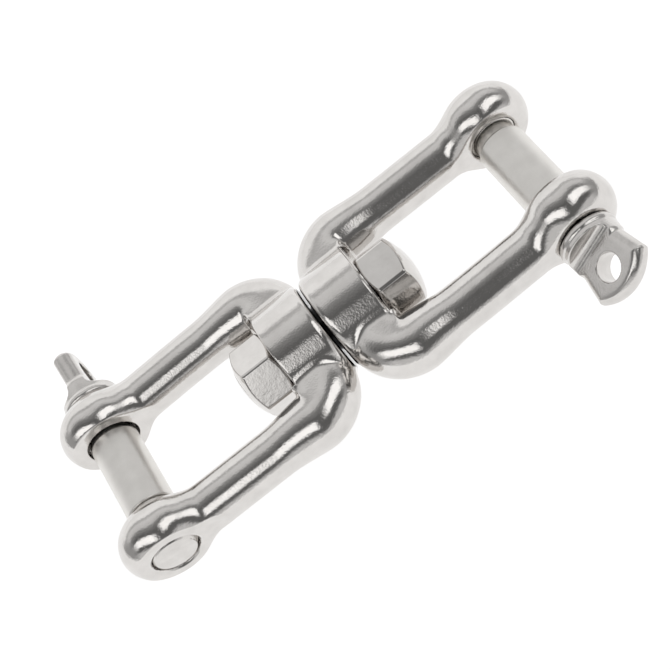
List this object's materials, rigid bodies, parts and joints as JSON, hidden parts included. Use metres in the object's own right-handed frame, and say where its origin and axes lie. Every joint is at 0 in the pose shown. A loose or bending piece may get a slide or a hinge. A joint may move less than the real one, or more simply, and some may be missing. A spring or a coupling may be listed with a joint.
{
  "type": "jaw and jaw swivel",
  "caption": "Stainless swivel with a forked jaw at each end; the jaws turn on a central headed bolt and each fork is closed by a screw clevis pin with a flat drilled tab.",
  "frame": {"origin": "on the swivel axis, midway between the two jaws and midway between the clevis pins", "axes": "+X along the swivel axis towards the jaw whose pin tab points to -Y; Y along both clevis pins with the jaws in line; +Z out of the plane of the forks"},
  "size_m": [0.0918, 0.054, 0.0168],
  "materials": {
    "jaw_steel": "polished stainless steel with a fine grain",
    "bolt_steel": "polished stainless steel",
    "pin_steel": "satin shank, polished collar and tab"
  },
  "bodies": {
    "fork_a": {"jaw_a": "jaw_steel"},
    "swivel": {"swivel_bolt": "bolt_steel", "swivel_nut": "bolt_steel"},
    "fork_b": {"jaw_b": "jaw_steel"},
    "screw_pin_a": {"pin_a": "pin_steel"},
    "screw_pin_b": {"pin_b": "pin_steel"}
  },
  "joints": [
    {"name": "bolt_turn", "type": "hinge", "parent": "fork_a", "child": "swivel", "pos_m": [0, 0, 0], "axis": [1, 0, 0], "continuous": true},
    {"name": "fork_b_turn", "type": "hinge", "parent": "swivel", "child": "fork_b", "pos_m": [0, 0, 0], "axis": [1, 0, 0], "continuous": true},
    {"name": "pin_a_draw", "type": "slide", "parent": "fork_a", "child": "screw_pin_a", "axis": [0, -1, 0], "range_m": [0, 0.04]},
    {"name": "pin_b_draw", "type": "slide", "parent": "fork_b", "child": "screw_pin_b", "axis": [0, 1, 0], "range_m": [0, 0.04]}
  ]
}
